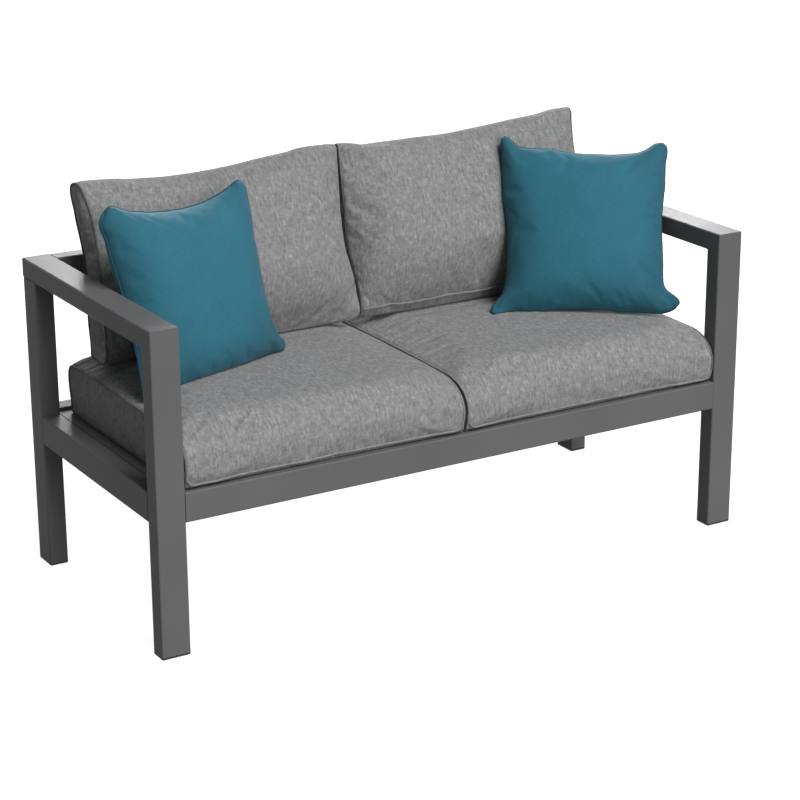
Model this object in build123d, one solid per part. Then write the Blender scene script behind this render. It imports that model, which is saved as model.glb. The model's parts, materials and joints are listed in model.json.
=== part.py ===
from build123d import *
import os

# Two-seat garden sofa: two welded arm frames of aluminium tube, a slatted seat frame
# and a slatted back frame bolted between them, and loose cushions and throw pillows.
# X runs along the sofa, Y from front to back and Z up. The origin is on the floor
# under the middle of the frame. All lengths are in millimetres.

# Overall sizes
sofa_width = 1360.0
sofa_depth = 600.0
arm_height = 650.0
seat_rail_top = 328.0

# Frame tube
tube_broad = 60.0
tube_narrow = 40.0
tube_wall = 2.0
tube_corner = 3.5

# Foot glides
glide_flange = 5.0
glide_plug_height = 18.0
glide_plug_wall = 2.5
glide_chamfer = 1.0
glide_clearance = 0.3

# Slats of the seat and the back
slat_thickness = 15.0
slat_wall = 1.5
slat_corner = 2.5
seat_slat_width = 60.0
seat_slat_count = 9
back_slat_width = 40.0
back_slat_count = 7

# Angle bars that join the seat frame to the arm frames
angle_size = 40.0
angle_wall = 3.0
angle_root = 2.0

# Flat bar under the back slats, and the plates and pins in the ends of the top rail
back_bar_thickness = 6.0
back_bar_corner = 1.0
end_plate_thickness = 3.0
pin_diameter = 10.0
pin_length = 36.0
pin_clearance = 0.1

# Hexagon bolts and weld nuts
bolt_diameter = 8.0
bolt_length = 20.0
bolt_across_flats = 13.0
bolt_head_height = 5.3
nut_across_flats = 13.0
nut_height = 6.5
bolt_clearance = 0.2
side_bolt_pitch = 360.0
back_bolt_shares = (-3.5, -1.5, 1.5, 3.5)

# Gap between soft pieces and what they rest on or lie beside
rest_gap = 0.3

# Seat cushions: a wrapped panel between two side panels
seat_side_clearance = 2.0
seat_middle_gap = 3.0
seat_front_setback = 6.0
seat_rear_clearance = 11.0
seat_panel_height = 104.0
seat_crown = 28.0
seat_crest = 6.0
seat_front_swell = 7.0
seat_rear_swell = 7.0
seat_waterfall = 46.0
seat_rear_shoulder = 24.0
seat_side_draw = 5.0

# Back cushions: heads are the outer and inner height and the sag between them
back_side_clearance = 24.0
back_middle_gap = 4.0
back_heads = ((356.0, 368.0, 5.0), (378.0, 357.0, 13.0))
back_foot_depth = 98.0
back_waist_depth = 82.0
back_head_depth = 54.0
back_foot_setback = 112.0
back_waist_setback = 98.0
back_head_setback = 70.0
back_waist_height = 168.0
back_rear_waist_height = 140.0
back_head_radius = 24.0
back_front_crown = 42.0
back_front_belly = 8.0
back_rear_crown = 57.0
back_corner_drop = 10.0
back_sink = 1.0
back_side_draw = 12.0

# Throw pillows
pillow_size = 355.0
pillow_thickness = 122.0
pillow_side_draw = 13.0
left_pillow_inset = 14.6
left_pillow_setback = 235.4
left_pillow_sink = 16.4
left_pillow_turn = 12.2
left_pillow_lean = 17.0
left_pillow_roll = -2.3
right_pillow_overhang = 16.9
right_pillow_setback = 277.3
right_pillow_sink = 0.3
right_pillow_turn = -45.6
right_pillow_lean = 18.7
right_pillow_roll = -3.4

# Shares across a cushion of each section, and of its crown there
swell_shares = (
    (0.0, 0.0), (0.045, 0.36), (0.18, 0.82), (0.5, 1.0),
    (0.82, 0.82), (0.955, 0.36), (1.0, 0.0),
)
# Shares of a pillow's half thickness, and of its half size, at each section
pillow_shares = ((0.0, 1.0), (0.5, 0.84), (0.88, 0.56), (1.0, 0.26))
quarter_share = 0.29

# Places worked out from the sizes
front = -sofa_depth / 2
back = sofa_depth / 2
outer = -sofa_width / 2
arm_inner = outer + tube_broad
side_inner = outer + tube_narrow
arm_under = arm_height - tube_narrow
rail_bottom = seat_rail_top - tube_broad
front_rail_back = front + tube_narrow
rear_rail_front = back - tube_narrow
rear_leg_front = back - tube_broad
back_slat_pitch = -2 * side_inner / (back_slat_count + 1)
angle_bottom = seat_rail_top - angle_size
side_bolt_height = angle_bottom + (angle_size - angle_wall) / 2
back_bar_top = seat_rail_top + back_bar_thickness
top_rail_under = arm_height - tube_broad
bolt_bore = bolt_diameter + bolt_clearance
cushion_base = seat_rail_top + rest_gap

section_planes = {"X": Plane.YZ, "Y": Plane.XZ, "Z": Plane.XY}
section_order = {"X": "YZX", "Y": "XZY", "Z": "XYZ"}


def bar_between(low, high, axis, corner, wall=None):
    """Bar that fills the box from low to high, hollow along axis if it has a wall."""
    size = {name: top - bottom for name, bottom, top in zip("XYZ", low, high)}
    centre = [(top + bottom) / 2 for bottom, top in zip(low, high)]
    across, up, along = [size[name] for name in section_order[axis]]
    section = RectangleRounded(across, up, corner) if corner else Rectangle(across, up)
    if wall:
        section -= Rectangle(across - 2 * wall, up - 2 * wall)
    bar = extrude(section_planes[axis] * section, amount=along / 2, both=True)
    return Pos(*centre) * bar


def frame_tube(low, high, axis):
    """Length of the main frame tube."""
    return bar_between(low, high, axis, tube_corner, tube_wall)


def slat_tube(low, high, axis):
    """Length of the thin flat tube of the slats."""
    return bar_between(low, high, axis, slat_corner, slat_wall)


def hole(place, axis, diameter, depth):
    """Round cutter centred on a place, for a hole along axis."""
    disc = section_planes[axis] * Circle(diameter / 2)
    return Pos(*place) * extrude(disc, amount=depth / 2, both=True)


# Arm frames

mitre_plane = Plane(origin=(outer, front, arm_height), z_dir=(0, 1, 1))


def front_leg():
    """Front leg, its broad face forward, cut to the mitre under the arm."""
    leg = frame_tube(
        (outer, front, glide_flange), (arm_inner, front_rail_back, arm_height), "Z")
    return split(leg, bisect_by=mitre_plane, keep=Keep.BOTTOM)


def arm_rail():
    """Arm rail lying flat, mitred to the front leg, with a hole for the back's pin."""
    rail = frame_tube(
        (outer, front, arm_under), (arm_inner, back - tube_wall, arm_height), "Y")
    rail = split(rail, bisect_by=mitre_plane, keep=Keep.TOP)
    return rail - hole(pin_place(), "X", pin_diameter + 2 * pin_clearance, pin_length)


def rear_leg():
    """Rear leg, the same tube turned edge on, butted under the arm rail."""
    return frame_tube(
        (outer, rear_leg_front, glide_flange), (side_inner, back, arm_under), "Z")


def side_bolt_places():
    """Middles of the bolt holes in the side rail's inner wall."""
    half = side_bolt_pitch / 2
    return [(side_inner, y, side_bolt_height) for y in (-half, half)]


def side_rail():
    """Side rail of the arm frame, drilled for the bolts of the seat frame."""
    rail = frame_tube(
        (outer, front_rail_back, rail_bottom), (side_inner, rear_leg_front, seat_rail_top), "Y")
    for place in side_bolt_places():
        rail -= hole(place, "X", bolt_bore, bolt_length)
    return rail


def arm_end_plate():
    """Plate that closes the rear end of the arm rail."""
    return bar_between(
        (outer, back - tube_wall, arm_under), (arm_inner, back, arm_height), "Y", tube_corner)


def foot_glide(low_x, high_x, low_y, high_y):
    """Plastic glide: a flange under the leg and a hollow plug inside it."""
    flange = bar_between((low_x, low_y, 0), (high_x, high_y, glide_flange), "Z", tube_corner)
    flange = chamfer(flange.faces().sort_by(Axis.Z)[0].edges(), glide_chamfer)
    inset = tube_wall + glide_clearance
    plug = bar_between(
        (low_x + inset, low_y + inset, glide_flange),
        (high_x - inset, high_y - inset, glide_flange + glide_plug_height), "Z",
        0, glide_plug_wall)
    return flange + plug


# Seat frame

def front_seat_rail():
    """Front rail between the front legs."""
    return frame_tube(
        (arm_inner, front, rail_bottom), (-arm_inner, front_rail_back, seat_rail_top), "X")


def rear_seat_rail():
    """Rear rail between the rear legs, drilled for the bolts of the back frame."""
    rail = frame_tube(
        (side_inner, rear_rail_front, rail_bottom), (-side_inner, back, seat_rail_top), "X")
    for place in back_bolt_places():
        rail -= hole(place, "Z", bolt_bore, bolt_length)
    return rail


def seat_slat(index):
    """One slat from the front rail to the rear rail, flush with their tops."""
    pitch = -2 * arm_inner / seat_slat_count
    middle = arm_inner + pitch * (index + 0.5)
    return slat_tube(
        (middle - seat_slat_width / 2, front_rail_back, seat_rail_top - slat_thickness),
        (middle + seat_slat_width / 2, rear_rail_front, seat_rail_top), "Y")


def seat_end_angle():
    """Angle bar along the side rail, welded to both seat rails and bolted outwards."""
    top = angle_bottom + angle_size
    reach = side_inner + angle_size
    wall = side_inner + angle_wall
    profile = Polyline(
        (side_inner, front_rail_back, angle_bottom), (wall, front_rail_back, angle_bottom),
        (wall, front_rail_back, top - angle_wall), (reach, front_rail_back, top - angle_wall),
        (reach, front_rail_back, top), (side_inner, front_rail_back, top), close=True)
    bar = extrude(make_face(profile), amount=rear_rail_front - front_rail_back, dir=(0, 1, 0))
    root = bar.edges().filter_by(Axis.Y).sort_by_distance(
        (wall, 0, top - angle_wall))[0]
    bar = fillet(root, angle_root)
    for place in side_bolt_places():
        bar -= hole(place, "X", bolt_bore, bolt_length)
    return bar


# Back frame

def back_bolt_places():
    """Middles of the bolt holes in the top of the rear seat rail."""
    return [(share * back_slat_pitch, back - tube_narrow / 2, seat_rail_top)
            for share in back_bolt_shares]


def back_top_rail():
    """Top rail of the back, level with the arms and open at its ends for the plates."""
    return frame_tube(
        (arm_inner, rear_rail_front, top_rail_under), (-arm_inner, back, arm_height), "X")


def back_bottom_bar():
    """Flat bar that carries the back slats and is bolted down on the rear seat rail."""
    bar = bar_between(
        (side_inner, rear_rail_front, seat_rail_top), (-side_inner, back, back_bar_top), "X",
        back_bar_corner)
    for place in back_bolt_places():
        bar -= hole(place, "Z", bolt_bore, bolt_length)
    return bar


def back_slat(index):
    """One upright slat between the bottom bar and the top rail."""
    middle = (index - (back_slat_count - 1) / 2) * back_slat_pitch
    middle_y = back - tube_narrow / 2
    return slat_tube(
        (middle - back_slat_width / 2, middle_y - slat_thickness / 2, back_bar_top),
        (middle + back_slat_width / 2, middle_y + slat_thickness / 2, top_rail_under), "Z")


def pin_place():
    """Middle of the pin that holds the left end of the top rail to the arm."""
    return (arm_inner, back - tube_narrow / 2, arm_height - tube_narrow / 2)


def end_plate():
    """Plate inside the left end of the top rail, bored for the pin."""
    plate = bar_between(
        (arm_inner, rear_rail_front + tube_wall, top_rail_under + tube_wall),
        (arm_inner + end_plate_thickness, back - tube_wall, arm_height - tube_wall), "X", 0)
    return plate - hole(pin_place(), "X", pin_diameter, pin_length)


def locating_pin():
    """Pin pressed in the end plate, reaching through the inner wall of the arm."""
    return hole(pin_place(), "X", pin_diameter, pin_length)


# Fasteners, made upright with the face that they press on at Z = 0

def bolt():
    """Hexagon bolt, head up."""
    hexagon = RegularPolygon(bolt_across_flats / 2, 6, major_radius=False)
    shank = extrude(Circle(bolt_diameter / 2), amount=-bolt_length)
    return extrude(hexagon, amount=bolt_head_height) + shank


def nut():
    """Hexagon weld nut, its top at Z = 0."""
    hexagon = RegularPolygon(nut_across_flats / 2, 6, major_radius=False)
    return extrude(hexagon - Circle(bolt_bore / 2), amount=-nut_height)


def side_fasteners(piece, seat_x):
    """A fastener at each side bolt, its axis turned to point at the sofa's middle."""
    return [Pos(seat_x, y, z) * Rot(0, 90, 0) * piece for _, y, z in side_bolt_places()]


def back_fasteners(piece, seat_z):
    """A fastener at each back bolt, upright."""
    return [Pos(x, y, seat_z) * piece for x, y, _ in back_bolt_places()]


# Cushions

def section_face(x, points):
    """Face across a cushion at x: arcs through (start, middle, end), closed by a line."""
    edges = []
    for start, middle, end in points:
        edges.append(ThreePointArc((x, *start), (x, *middle), (x, *end)))
    edges.append(Line(edges[-1] @ 1, edges[0] @ 0))
    return Face(Wire(edges))


def bent(start, end, bulge_y, bulge_z):
    """Arc from start to end whose middle stands off the chord by the bulge."""
    middle = ((start[0] + end[0]) / 2 + bulge_y, (start[1] + end[1]) / 2 + bulge_z)
    return start, middle, end


def rounded(start, end, rise_first):
    """Quarter-turn arc from start to end that climbs first, or runs level first."""
    first, second = (quarter_share, 1 - quarter_share)
    if not rise_first:
        first, second = second, first
    middle = (start[0] + first * (end[0] - start[0]), start[1] + second * (end[1] - start[1]))
    return start, middle, end


def seat_section(x, swell, _):
    """Section of a seat cushion: flat below, waterfall front, crowned top."""
    y_front = front + seat_front_setback + seat_front_swell
    y_rear = rear_rail_front - seat_rear_clearance - seat_rear_swell
    y_nose = y_front - seat_front_swell * swell
    y_tail = y_rear + seat_rear_swell * swell
    z_top = cushion_base + seat_panel_height + (seat_crown - seat_crest) * swell
    z_nose = cushion_base + seat_panel_height - seat_waterfall
    z_tail = cushion_base + seat_panel_height - seat_rear_shoulder
    foot = (y_front, cushion_base)
    nose = (y_nose, z_nose)
    brow = (y_nose + seat_waterfall, z_top)
    crest = (y_tail - seat_rear_shoulder, z_top)
    tail = (y_tail, z_tail)
    heel = (y_rear, cushion_base)
    return section_face(x, (
        bent(foot, nose, -seat_front_swell / 3, 0),
        rounded(nose, brow, True),
        bent(brow, crest, 0, seat_crest * (quarter_share + swell) / (quarter_share + 1)),
        rounded(crest, tail, False),
        bent(tail, heel, seat_rear_swell / 3, 0),
    ))


def plan_outline(low, high, draws, plane):
    """Four-sided outline whose sides are drawn in from the corners.

    low and high are two opposite corners, draws the pull of the low-u, high-u, low-v
    and high-v sides."""
    (u0, v0), (u1, v1) = low, high
    um, vm = (u0 + u1) / 2, (v0 + v1) / 2
    left, right, below, above = draws
    outline = Wire([
        side_line((u0, v0), (um, v0 + below), (u1, v0)),
        side_line((u1, v0), (u1 - right, vm), (u1, v1)),
        side_line((u1, v1), (um, v1 - above), (u0, v1)),
        side_line((u0, v1), (u0 + left, vm), (u0, v0)),
    ])
    return plane * Face(outline)


def side_line(start, middle, end):
    """Arc through three points, or a line where the side isn't drawn in."""
    straight = abs(middle[0] - start[0]) == 0 or abs(middle[1] - start[1]) == 0
    return Line(start, end) if straight else ThreePointArc(start, middle, end)


def lofted_cushion(section, x_low, x_high):
    """Cushion body through its sections from the left side panel to the right."""
    width = x_high - x_low
    sections = [section(x_low + place * width, swell, place) for place, swell in swell_shares]
    return loft(sections, ruled=True)


def seat_cushion():
    """Left seat cushion, its side panels drawn in between the corners."""
    x_low = arm_inner + seat_side_clearance
    x_high = -seat_middle_gap
    body = lofted_cushion(seat_section, x_low, x_high)
    draws = (seat_side_draw, seat_side_draw / 2, 0, 0)
    trim = plan_outline((x_low, front), (x_high, back), draws, Plane.XY)
    return body & extrude(Pos(0, 0, rail_bottom) * trim, amount=arm_height)


def back_section(x, swell, base, top):
    """Section of a back cushion: flat foot, crowned front and rear, rounded head."""
    rear_foot = (back - back_foot_setback, base)
    rear_waist = (
        back - back_waist_setback + back_rear_crown * swell, base + back_rear_waist_height)
    rear_head = (back - back_head_setback, top - back_head_radius)
    front_head = (rear_head[0] - back_head_depth, top - back_head_radius)
    crown = (rear_head[0] - back_head_depth / 2, top)
    front_waist = (
        back - back_waist_setback - back_waist_depth - back_front_crown * swell,
        base + back_waist_height)
    front_foot = (rear_foot[0] - back_foot_depth, base)
    belly = -back_front_belly * (quarter_share + swell)
    return section_face(x, (
        bent(front_foot, front_waist, belly, 0),
        bent(front_waist, front_head, belly, back_front_belly / 2),
        rounded(front_head, crown, True),
        rounded(crown, rear_head, False),
        bent(rear_head, rear_waist, -belly, 0),
        bent(rear_waist, rear_foot, back_front_belly, 0),
    ))


def back_cushion(outer_head, inner_head, sag):
    """Left back cushion: side panels drawn in, top edge sagging between its corners."""
    x_low = arm_inner + back_side_clearance
    x_high = -back_middle_gap / 2
    base = cushion_base + seat_panel_height + seat_crown - back_sink

    def section(x, swell, place):
        level = outer_head + (inner_head - outer_head) * place
        dip = 4 * sag * place * (1 - place) + back_corner_drop * (1 - swell)
        return back_section(x, swell, base, base + level - dip)

    body = lofted_cushion(section, x_low, x_high)
    draws = (back_side_draw, back_side_draw / 4, 0, 0)
    trim = plan_outline((x_low, base), (x_high, arm_height + arm_height), draws, Plane.XZ)
    return body & extrude(trim, amount=sofa_depth, both=True)


def pillow_outline(half, draw, y):
    """Outline of a pillow at y: its sides drawn in between pointed corners."""
    side = ThreePointArc((-half, half), (0, half - draw), (half, half))
    outline = Wire([Rot(0, 0, -90 * step) * side for step in range(4)])
    return Pos(0, y, 0) * (Plane.XZ * Face(outline))


def throw_pillow():
    """Knife-edged pillow standing upright, its middle at the origin."""
    half = pillow_size / 2
    sections = []
    for depth, width in pillow_shares:
        draw = pillow_side_draw * width
        sections.append((depth * pillow_thickness / 2, half * width, draw))
    front_half = loft([pillow_outline(size, draw, -y) for y, size, draw in sections], ruled=True)
    rear_half = loft([pillow_outline(size, draw, y) for y, size, draw in sections], ruled=True)
    return front_half + rear_half


def placed_pillow(inset, setback, sink, turn, lean, roll):
    """Pillow rolled on its front, leaned back, turned and set in its place.

    Inset is from the arm, setback from the frame's back and sink into the seat's crown,
    each beyond what the pillow's own size takes."""
    x = arm_inner + pillow_size / 2 + inset
    y = back - pillow_thickness / 2 - setback
    z = cushion_base + seat_panel_height + seat_crown + pillow_size / 2 - sink
    pillow = Rot(0, 0, turn) * Rot(-lean, 0, 0) * Rot(0, roll, 0) * throw_pillow()
    return Pos(x, y, z) * pillow


def to_right(piece):
    """Mirror image of a left piece on the right of the sofa."""
    return mirror(piece, about=Plane.YZ)


def both_ends(piece):
    """The piece at the left end and its mirror image at the right end."""
    return [piece, to_right(piece)]


# The pieces by name

pieces = {}

left_pieces = {
    "front_leg": front_leg(),
    "rear_leg": rear_leg(),
    "arm_rail": arm_rail(),
    "arm_end_plate": arm_end_plate(),
    "side_rail": side_rail(),
    "front_glide": foot_glide(outer, arm_inner, front, front_rail_back),
    "rear_glide": foot_glide(outer, side_inner, rear_leg_front, back),
    "seat_end_angle": seat_end_angle(),
}
for name, piece in left_pieces.items():
    pieces["left_" + name] = piece
    pieces["right_" + name] = to_right(piece)

pieces["front_seat_rail"] = front_seat_rail()
pieces["rear_seat_rail"] = rear_seat_rail()
for number in range(seat_slat_count):
    pieces[f"seat_slat_{number + 1}"] = seat_slat(number)

pieces["back_top_rail"] = back_top_rail()
pieces["back_bottom_bar"] = back_bottom_bar()
for number in range(back_slat_count):
    pieces[f"back_slat_{number + 1}"] = back_slat(number)
pieces["top_rail_end_plates"] = Compound(both_ends(end_plate()))
pieces["top_rail_pins"] = Compound(both_ends(locating_pin()))

flange_face = side_inner + angle_wall
wall_face = side_inner - tube_wall
side_bolts = side_fasteners(bolt(), flange_face)
side_nuts = side_fasteners(nut(), wall_face)
for side, place in (("left", list), ("right", lambda group: [to_right(p) for p in group])):
    pieces[side + "_seat_bolts"] = Compound(place(side_bolts))
    pieces[side + "_seat_nuts"] = Compound(place(side_nuts))
pieces["back_bolts"] = Compound(back_fasteners(bolt(), back_bar_top))
pieces["back_nuts"] = Compound(back_fasteners(nut(), seat_rail_top - tube_wall))

left_seat = seat_cushion()
right_seat = to_right(left_seat)
left_back = back_cushion(*back_heads[0])
right_back = to_right(back_cushion(*back_heads[1]))
pieces["left_seat_cushion"] = left_seat
pieces["right_seat_cushion"] = right_seat
pieces["left_back_cushion"] = left_back
pieces["right_back_cushion"] = right_back
pieces["left_throw_pillow"] = placed_pillow(
    left_pillow_inset, left_pillow_setback, left_pillow_sink,
    left_pillow_turn, left_pillow_lean, left_pillow_roll)
pieces["right_throw_pillow"] = to_right(placed_pillow(
    -right_pillow_overhang, right_pillow_setback, right_pillow_sink,
    -right_pillow_turn, right_pillow_lean, -right_pillow_roll))

os.makedirs("parts", exist_ok=True)
for name, piece in pieces.items():
    export_step(piece, f"parts/{name}.step")
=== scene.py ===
import json
import math

import bmesh
import bpy
import numpy as np
from mathutils import Matrix, Vector, noise
from mathutils.bvhtree import BVHTree
from mathutils.kdtree import KDTree


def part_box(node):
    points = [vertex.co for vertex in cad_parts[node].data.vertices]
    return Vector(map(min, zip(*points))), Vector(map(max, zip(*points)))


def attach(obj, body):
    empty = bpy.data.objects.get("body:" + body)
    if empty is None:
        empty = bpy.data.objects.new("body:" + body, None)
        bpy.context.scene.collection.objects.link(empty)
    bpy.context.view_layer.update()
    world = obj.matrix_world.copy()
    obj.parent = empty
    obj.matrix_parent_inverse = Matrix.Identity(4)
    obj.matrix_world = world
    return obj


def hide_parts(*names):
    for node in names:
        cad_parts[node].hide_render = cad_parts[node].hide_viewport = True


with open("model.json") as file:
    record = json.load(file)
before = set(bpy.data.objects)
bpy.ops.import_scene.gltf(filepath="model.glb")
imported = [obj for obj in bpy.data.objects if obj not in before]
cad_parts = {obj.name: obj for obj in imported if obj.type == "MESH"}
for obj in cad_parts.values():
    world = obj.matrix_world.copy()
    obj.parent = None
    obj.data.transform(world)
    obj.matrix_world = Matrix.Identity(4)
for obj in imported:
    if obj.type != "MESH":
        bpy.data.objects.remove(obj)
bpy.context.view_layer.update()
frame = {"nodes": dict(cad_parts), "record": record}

# The garden sofa stands on the floor at z = 0, its front towards -y. Lengths are in metres.

# The frame, and how the loose cushions and pillows lie in it. The right back cushion follows
# the bow of the left one by RIGHT_BOW of it at most.
FRONT, BACK, WALL_X = -0.300, 0.300, 0.620
SEAT_BASE = 0.3283
BACK_SIDE_GAP = 0.0225
SLIT_HALF = 0.0014
RIGHT_BOW = 0.6
PILLOW_HALF = 0.187
PILLOW_DEPTH = 0.125
COVER_GAP = 0.0012
CORD_GAP = 0.0010

# Piping, and the simulation that stuffs the covers
PIPING_RADIUS = 0.0022
PILLOW_PIPING_RADIUS = 0.0020
CORD_SHOWING = 0.55
SETTLE_FRAMES = 20
PRESSURE = 3.0
VOXEL = 0.0062
REST_BAND = 0.003

# A face whose normal's x is over this belongs to a cushion's side panel
SIDE_FACING = 0.72


# Shaders

def shader(name):
    """A node material, its tree and its surface shader."""
    material = bpy.data.materials.new(name)
    material.use_nodes = True
    tree = material.node_tree
    tree.nodes.clear()
    surface = tree.nodes.new("ShaderNodeBsdfPrincipled")
    output = tree.nodes.new("ShaderNodeOutputMaterial")
    tree.links.new(surface.outputs["BSDF"], output.inputs["Surface"])
    return material, tree, surface


def node(tree, kind, links=(), **values):
    """A shader node with its properties and incoming links."""
    made = tree.nodes.new(kind)
    for key, value in values.items():
        setattr(made, key, value)
    for socket, source in links:
        tree.links.new(source, made.inputs[socket])
    return made


def set_inputs(target, values):
    """Sets a node's inputs by name."""
    for name, value in values.items():
        target.inputs[name].default_value = value


def cloth_coordinates(tree, across, along):
    """The cloth's own coordinates in metres, times a number across and along it."""
    source = node(tree, "ShaderNodeUVMap", uv_map="cloth")
    made = node(tree, "ShaderNodeMapping", links=[("Vector", source.outputs["UV"])])
    set_inputs(made, {"Scale": (across, along, 1.0)})
    return made.outputs["Vector"]


def fleck(tree, across, along, detail, seed):
    """Noise drawn out along or across the threads, about 0.5 on average."""
    vector = cloth_coordinates(tree, across, along)
    made = node(tree, "ShaderNodeTexNoise", links=[("Vector", vector)], noise_dimensions="4D")
    set_inputs(made, {"W": seed, "Scale": 1.0, "Detail": detail, "Roughness": 0.6})
    return made.outputs["Fac"]


def skin_noise(tree, scale, detail=2.0):
    """Noise over the piece's own coordinates, about 0.5 on average."""
    place = node(tree, "ShaderNodeTexCoord").outputs["Object"]
    made = node(tree, "ShaderNodeTexNoise", links=[("Vector", place)])
    set_inputs(made, {"Scale": scale, "Detail": detail})
    return made.outputs["Fac"]


def ramp(tree, source, stops):
    """Colour ramp over a value; stops are (place, colour or grey level)."""
    made = node(tree, "ShaderNodeValToRGB", links=[("Fac", source)])
    elements = made.color_ramp.elements
    while len(elements) < len(stops):
        elements.new(0.5)
    for element, (place, colour) in zip(elements, stops):
        element.position = place
        element.color = (*(colour if isinstance(colour, tuple) else (colour,) * 3), 1.0)
    return made.outputs["Color"]


def math_node(tree, operation, first, second):
    """Math node over two sources or numbers."""
    made = node(tree, "ShaderNodeMath", operation=operation)
    for index, source in enumerate((first, second)):
        if isinstance(source, (int, float)):
            made.inputs[index].default_value = source
        else:
            tree.links.new(source, made.inputs[index])
    return made.outputs[0]


def multiplied(tree, product, *factors):
    """Product of colour sources."""
    for factor in factors:
        made = node(tree, "ShaderNodeMix", data_type="RGBA", blend_type="MULTIPLY")
        set_inputs(made, {"Factor": 1.0})
        tree.links.new(product, made.inputs[6])
        tree.links.new(factor, made.inputs[7])
        product = made.outputs[2]
    return product


def threads(tree, per_metre):
    """Height of a plain weave with that many threads to the metre each way."""
    split = node(tree, "ShaderNodeSeparateXYZ", links=[
        ("Vector", cloth_coordinates(tree, per_metre * math.pi, per_metre * math.pi))])
    warp = math_node(tree, "SINE", split.outputs["X"], 0.0)
    weft = math_node(tree, "SINE", split.outputs["Y"], 0.0)
    return math_node(tree, "MULTIPLY", warp, weft)


def relief(tree, surface, height, distance, strength):
    """Bump on a shader from a height."""
    bump = node(tree, "ShaderNodeBump", links=[("Height", height)])
    set_inputs(bump, {"Distance": distance, "Strength": strength})
    tree.links.new(bump.outputs["Normal"], surface.inputs["Normal"])


def heather_grey(name, level=1.0, flecks=1.0):
    """Outdoor cloth of mixed grey yarns: upright light and dark slubs over a plain weave.

    level is how light it is, and flecks how strong its slubs are."""
    material, tree, surface = shader(name)
    upright = fleck(tree, 200.0, 72.0, 2.0, 1.0)
    lying = fleck(tree, 72.0, 210.0, 2.0, 5.0)
    cloudy = fleck(tree, 46.0, 38.0, 3.0, 9.0)
    grain = fleck(tree, 1000.0, 800.0, 1.0, 13.0)
    spread = 0.046 * flecks

    def grey(value):
        return (value * level, value * level, value * 1.008 * level)

    slubs = ramp(tree, upright, [
        (0.28, grey(0.232 - 1.7 * spread)), (0.47, grey(0.232)), (0.57, grey(0.256)),
        (0.72, grey(0.26 + 2.2 * spread))])
    crossing = ramp(tree, lying, [(0.30, 0.84), (0.5, 1.0), (0.75, 1.16)])
    clouds = ramp(tree, cloudy, [(0.30, 0.86), (0.70, 1.13)])
    grains = ramp(tree, grain, [(0.25, 0.88), (0.75, 1.11)])
    colour = multiplied(tree, slubs, crossing, clouds, grains)
    tree.links.new(colour, surface.inputs["Base Color"])
    rough = ramp(tree, upright, [(0.3, 0.82), (0.7, 0.94)])
    tree.links.new(rough, surface.inputs["Roughness"])
    set_inputs(surface, {"Sheen Weight": 0.12, "Sheen Roughness": 0.5, "Specular IOR Level": 0.2})
    weave = threads(tree, 620.0)
    height = math_node(tree, "ADD", math_node(tree, "MULTIPLY", weave, 0.45), upright)
    relief(tree, surface, height, 0.0007, 0.75)
    return material


def teal_cloth(name, half=0.0, level=1.0):
    """Teal pillow cloth of a given lightness: even threads, a faint slub and a soft sheen.

    Over a pillow of the given half width, shade is painted into the colour: it darkens towards all
    but the top seam, as the pillow's rounded edges turn from the light."""
    material, tree, surface = shader(name)
    slub = fleck(tree, 90.0, 900.0, 3.0, 21.0)
    yarn = fleck(tree, 900.0, 110.0, 3.0, 25.0)
    cloudy = fleck(tree, 16.0, 14.0, 2.0, 29.0)
    base = ramp(tree, slub, [
        (place, tuple(value * level for value in colour)) for place, colour in (
            (0.25, (0.0190, 0.122, 0.174)), (0.5, (0.0245, 0.146, 0.204)),
            (0.75, (0.0310, 0.172, 0.236)))])
    yarns = ramp(tree, yarn, [(0.25, (0.86, 0.88, 0.89)), (0.75, (1.12, 1.10, 1.10))])
    clouds = ramp(tree, cloudy, [(0.3, (0.93, 0.94, 0.95)), (0.7, (1.06, 1.05, 1.05))])
    colour = multiplied(tree, base, yarns, clouds)
    # Painted shade: the colour darkens towards the pillow's left, right and bottom edges, standing
    # in for its rounded edges in shade.
    if half:
        split = node(tree, "ShaderNodeSeparateXYZ", links=[
            ("Vector", cloth_coordinates(tree, 1 / half, 1 / half))])
        low = math_node(tree, "MINIMUM", split.outputs["Y"], 0.0)
        painted_shade_mask = math_node(
            tree, "ADD", math_node(tree, "MULTIPLY", split.outputs["X"], split.outputs["X"]),
            math_node(tree, "MULTIPLY", math_node(tree, "MULTIPLY", low, low), 0.6))
        depth = ramp(tree, painted_shade_mask, [(0.25, 1.0), (0.60, 0.86), (0.95, 0.70)])
        colour = multiplied(tree, colour, depth)
    tree.links.new(colour, surface.inputs["Base Color"])
    rough = ramp(tree, yarn, [(0.3, 0.70), (0.7, 0.84)])
    tree.links.new(rough, surface.inputs["Roughness"])
    set_inputs(surface, {"Sheen Weight": 0.10, "Sheen Roughness": 0.4, "Specular IOR Level": 0.25})
    height = math_node(tree, "ADD", threads(tree, 900.0), slub)
    relief(tree, surface, height, 0.0004, 0.5)
    return material


def powder_coat(name):
    """Charcoal powder coat on aluminium: satin, with a fine orange-peel skin."""
    material, tree, surface = shader(name)
    peel, drift = skin_noise(tree, 900.0, 3.0), skin_noise(tree, 3.5)
    speck = ramp(tree, peel, [(0.3, (0.116, 0.116, 0.118)), (0.7, (0.144, 0.144, 0.147))])
    tone = ramp(tree, drift, [(0.35, 0.95), (0.65, 1.05)])
    tree.links.new(multiplied(tree, speck, tone), surface.inputs["Base Color"])
    rough = ramp(tree, drift, [(0.3, 0.36), (0.7, 0.44)])
    tree.links.new(rough, surface.inputs["Roughness"])
    set_inputs(surface, {"Specular IOR Level": 0.06})
    relief(tree, surface, peel, 0.00015, 0.35)
    return material


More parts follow.
